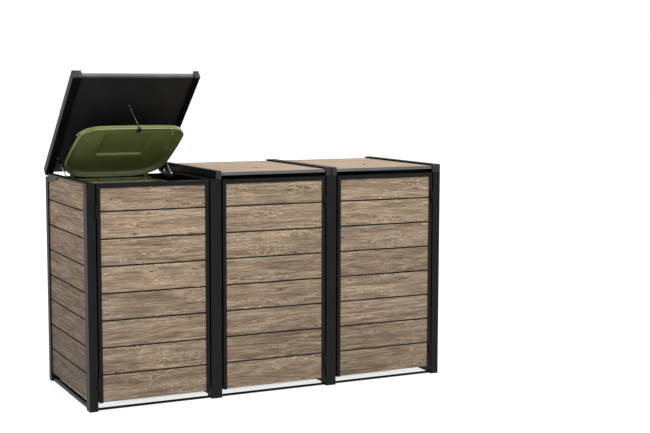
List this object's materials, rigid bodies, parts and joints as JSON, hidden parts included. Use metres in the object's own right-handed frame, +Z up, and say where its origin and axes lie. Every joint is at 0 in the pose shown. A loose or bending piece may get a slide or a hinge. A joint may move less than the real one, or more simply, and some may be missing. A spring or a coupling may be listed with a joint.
{
  "type": "wheelie bin store",
  "caption": "Garden store for wheeled refuse bins: framed board doors in front, hinged board lids above on gas struts, and one green bin inside whose lid is tied to the open store lid.",
  "frame": {"origin": "centre of the rest bounding box's base, on the ground", "axes": "+X along the front to the right, +Y from the front to the rear, +Z up"},
  "size_m": [2.05, 0.8594, 1.7213],
  "materials": {
    "black_powder_coat": "fine-textured satin black powder coat",
    "wall_boards": "weathered grey-brown oak grain, matt",
    "oak_boards": "weathered grey-brown oak grain, matt",
    "bin_plastic": "fine-grained moulded olive green plastic",
    "wheel_rubber": "matt black rubber",
    "bare_steel": "dull zinc-plated steel",
    "chromed_rod": "polished chrome",
    "strut_enamel": "gloss black enamel"
  },
  "bodies": {
    "frame": {"front_post_left": "black_powder_coat", "rear_post_left": "black_powder_coat", "base_bar_left": "black_powder_coat", "top_rail_left": "black_powder_coat", "front_post_mid_left": "black_powder_coat", "rear_post_mid_left": "black_powder_coat", "base_bar_mid_left": "black_powder_coat", "top_rail_mid_left": "black_powder_coat", "front_post_mid_right": "black_powder_coat", "rear_post_mid_right": "black_powder_coat", "base_bar_mid_right": "black_powder_coat", "top_rail_mid_right": "black_powder_coat", "front_post_right": "black_powder_coat", "rear_post_right": "black_powder_coat", "base_bar_right": "black_powder_coat", "top_rail_right": "black_powder_coat", "base_bar_front": "black_powder_coat", "base_bar_rear": "black_powder_coat", "top_rail_rear": "black_powder_coat", "side_panel_left": "wall_boards", "side_panel_right": "wall_boards", "rear_panel_1": "wall_boards", "rear_panel_2": "wall_boards", "rear_panel_3": "wall_boards", "door_hinge_1_lower": "black_powder_coat", "door_hinge_1_upper": "black_powder_coat", "door_hinge_2_lower": "black_powder_coat", "door_hinge_2_upper": "black_powder_coat", "door_hinge_3_lower": "black_powder_coat", "door_hinge_3_upper": "black_powder_coat", "bin_body": "bin_plastic", "bin_axle": "bare_steel"},
    "door_1": {"door_frame_1": "black_powder_coat", "door_panel_1": "oak_boards"},
    "door_2": {"door_frame_2": "black_powder_coat", "door_panel_2": "oak_boards"},
    "door_3": {"door_frame_3": "black_powder_coat", "door_panel_3": "oak_boards"},
    "lid_1": {"lid_frame_1": "black_powder_coat", "lid_panel_1": "oak_boards"},
    "strut_rod_1_left": {"strut_rod_1_left": "chromed_rod"},
    "strut_cylinder_1_left": {"strut_cylinder_1_left": "strut_enamel"},
    "strut_rod_1_right": {"strut_rod_1_right": "chromed_rod"},
    "strut_cylinder_1_right": {"strut_cylinder_1_right": "strut_enamel"},
    "lid_2": {"lid_frame_2": "black_powder_coat", "lid_panel_2": "oak_boards"},
    "strut_rod_2_left": {"strut_rod_2_left": "chromed_rod"},
    "strut_cylinder_2_left": {"strut_cylinder_2_left": "strut_enamel"},
    "strut_rod_2_right": {"strut_rod_2_right": "chromed_rod"},
    "strut_cylinder_2_right": {"strut_cylinder_2_right": "strut_enamel"},
    "lid_3": {"lid_frame_3": "black_powder_coat", "lid_panel_3": "oak_boards"},
    "strut_rod_3_left": {"strut_rod_3_left": "chromed_rod"},
    "strut_cylinder_3_left": {"strut_cylinder_3_left": "strut_enamel"},
    "strut_rod_3_right": {"strut_rod_3_right": "chromed_rod"},
    "strut_cylinder_3_right": {"strut_cylinder_3_right": "strut_enamel"},
    "bin_lid": {"bin_lid": "bin_plastic"},
    "lid_link": {"lid_link": "bare_steel"},
    "wheel_left": {"bin_wheel_left": "wheel_rubber"},
    "wheel_right": {"bin_wheel_right": "wheel_rubber"}
  },
  "joints": [
    {"name": "door_1_hinge", "type": "hinge", "parent": "frame", "child": "door_1", "pos_m": [-0.976, -0.42419, 0.6], "axis": [0, 0, -1], "range_deg": [0, 100]},
    {"name": "door_2_hinge", "type": "hinge", "parent": "frame", "child": "door_2", "pos_m": [0.30283, -0.42419, 0.6], "axis": [0, 0, 1], "range_deg": [0, 100]},
    {"name": "door_3_hinge", "type": "hinge", "parent": "frame", "child": "door_3", "pos_m": [0.976, -0.42419, 0.6], "axis": [0, 0, 1], "range_deg": [0, 100]},
    {"name": "lid_1_hinge", "type": "hinge", "parent": "frame", "child": "lid_1", "pos_m": [-0.67217, 0.38481, 1.154], "axis": [-1, 0, 0], "range_deg": [-41.2, 0]},
    {"name": "strut_1_left_swing", "type": "hinge", "parent": "frame", "child": "strut_rod_1_left", "pos_m": [-0.9715, 0.16181, 1.155], "axis": [1, 0, 0], "range_deg": [-27.03, 0]},
    {"name": "strut_1_left_stroke", "type": "slide", "parent": "strut_rod_1_left", "child": "strut_cylinder_1_left", "axis": [0, 0.8345, 0.551], "range_m": [-0.06538, 0]},
    {"name": "strut_1_right_swing", "type": "hinge", "parent": "frame", "child": "strut_rod_1_right", "pos_m": [-0.37283, 0.16181, 1.155], "axis": [1, 0, 0], "range_deg": [-27.03, 0]},
    {"name": "strut_1_right_stroke", "type": "slide", "parent": "strut_rod_1_right", "child": "strut_cylinder_1_right", "axis": [0, 0.8345, 0.551], "range_m": [-0.06538, 0]},
    {"name": "lid_2_hinge", "type": "hinge", "parent": "frame", "child": "lid_2", "pos_m": [0, 0.38481, 1.154], "axis": [-1, 0, 0], "range_deg": [0, 41.2]},
    {"name": "strut_2_left_swing", "type": "hinge", "parent": "frame", "child": "strut_rod_2_left", "pos_m": [-0.30033, 0.16181, 1.155], "axis": [1, 0, 0], "range_deg": [0, 27.03]},
    {"name": "strut_2_left_stroke", "type": "slide", "parent": "strut_rod_2_left", "child": "strut_cylinder_2_left", "axis": [0, 0.9938, 0.1115], "range_m": [0, 0.06538]},
    {"name": "strut_2_right_swing", "type": "hinge", "parent": "frame", "child": "strut_rod_2_right", "pos_m": [0.30033, 0.16181, 1.155], "axis": [1, 0, 0], "range_deg": [0, 27.03]},
    {"name": "strut_2_right_stroke", "type": "slide", "parent": "strut_rod_2_right", "child": "strut_cylinder_2_right", "axis": [0, 0.9938, 0.1115], "range_m": [0, 0.06538]},
    {"name": "lid_3_hinge", "type": "hinge", "parent": "frame", "child": "lid_3", "pos_m": [0.67217, 0.38481, 1.154], "axis": [-1, 0, 0], "range_deg": [0, 41.2]},
    {"name": "strut_3_left_swing", "type": "hinge", "parent": "frame", "child": "strut_rod_3_left", "pos_m": [0.37283, 0.16181, 1.155], "axis": [1, 0, 0], "range_deg": [0, 27.03]},
    {"name": "strut_3_left_stroke", "type": "slide", "parent": "strut_rod_3_left", "child": "strut_cylinder_3_left", "axis": [0, 0.9938, 0.1115], "range_m": [0, 0.06538]},
    {"name": "strut_3_right_swing", "type": "hinge", "parent": "frame", "child": "strut_rod_3_right", "pos_m": [0.9715, 0.16181, 1.155], "axis": [1, 0, 0], "range_deg": [0, 27.03]},
    {"name": "strut_3_right_stroke", "type": "slide", "parent": "strut_rod_3_right", "child": "strut_cylinder_3_right", "axis": [0, 0.9938, 0.1115], "range_m": [0, 0.06538]},
    {"name": "bin_lid_hinge", "type": "hinge", "parent": "frame", "child": "bin_lid", "pos_m": [-0.67917, 0.34381, 1.118], "axis": [-1, 0, 0], "range_deg": [-29.5, 0]},
    {"name": "lid_link_swing", "type": "hinge", "parent": "lid_1", "child": "lid_link", "pos_m": [-0.67317, -0.02586, 1.5381], "axis": [1, 0, 0], "range_deg": [-77.4, 0]},
    {"name": "wheel_left_spin", "type": "hinge", "parent": "frame", "child": "wheel_left", "pos_m": [-0.93717, 0.22981, 0.1005], "axis": [1, 0, 0], "continuous": true},
    {"name": "wheel_right_spin", "type": "hinge", "parent": "frame", "child": "wheel_right", "pos_m": [-0.42117, 0.22981, 0.1005], "axis": [1, 0, 0], "continuous": true}
  ],
  "couplings": [
    {"joint": "strut_1_left_swing", "follows": "lid_1_hinge", "ratio": 0.65613},
    {"joint": "strut_1_left_stroke", "follows": "lid_1_hinge", "m_per_rad": 0.090922},
    {"joint": "strut_1_right_swing", "follows": "lid_1_hinge", "ratio": 0.65613},
    {"joint": "strut_1_right_stroke", "follows": "lid_1_hinge", "m_per_rad": 0.090922},
    {"joint": "strut_2_left_swing", "follows": "lid_2_hinge", "ratio": 0.65613},
    {"joint": "strut_2_left_stroke", "follows": "lid_2_hinge", "m_per_rad": 0.090922},
    {"joint": "strut_2_right_swing", "follows": "lid_2_hinge", "ratio": 0.65613},
    {"joint": "strut_2_right_stroke", "follows": "lid_2_hinge", "m_per_rad": 0.090922},
    {"joint": "strut_3_left_swing", "follows": "lid_3_hinge", "ratio": 0.65613},
    {"joint": "strut_3_left_stroke", "follows": "lid_3_hinge", "m_per_rad": 0.090922},
    {"joint": "strut_3_right_swing", "follows": "lid_3_hinge", "ratio": 0.65613},
    {"joint": "strut_3_right_stroke", "follows": "lid_3_hinge", "m_per_rad": 0.090922},
    {"joint": "bin_lid_hinge", "follows": "lid_1_hinge", "ratio": 0.71601},
    {"joint": "lid_link_swing", "follows": "lid_1_hinge", "ratio": 1.8786}
  ]
}
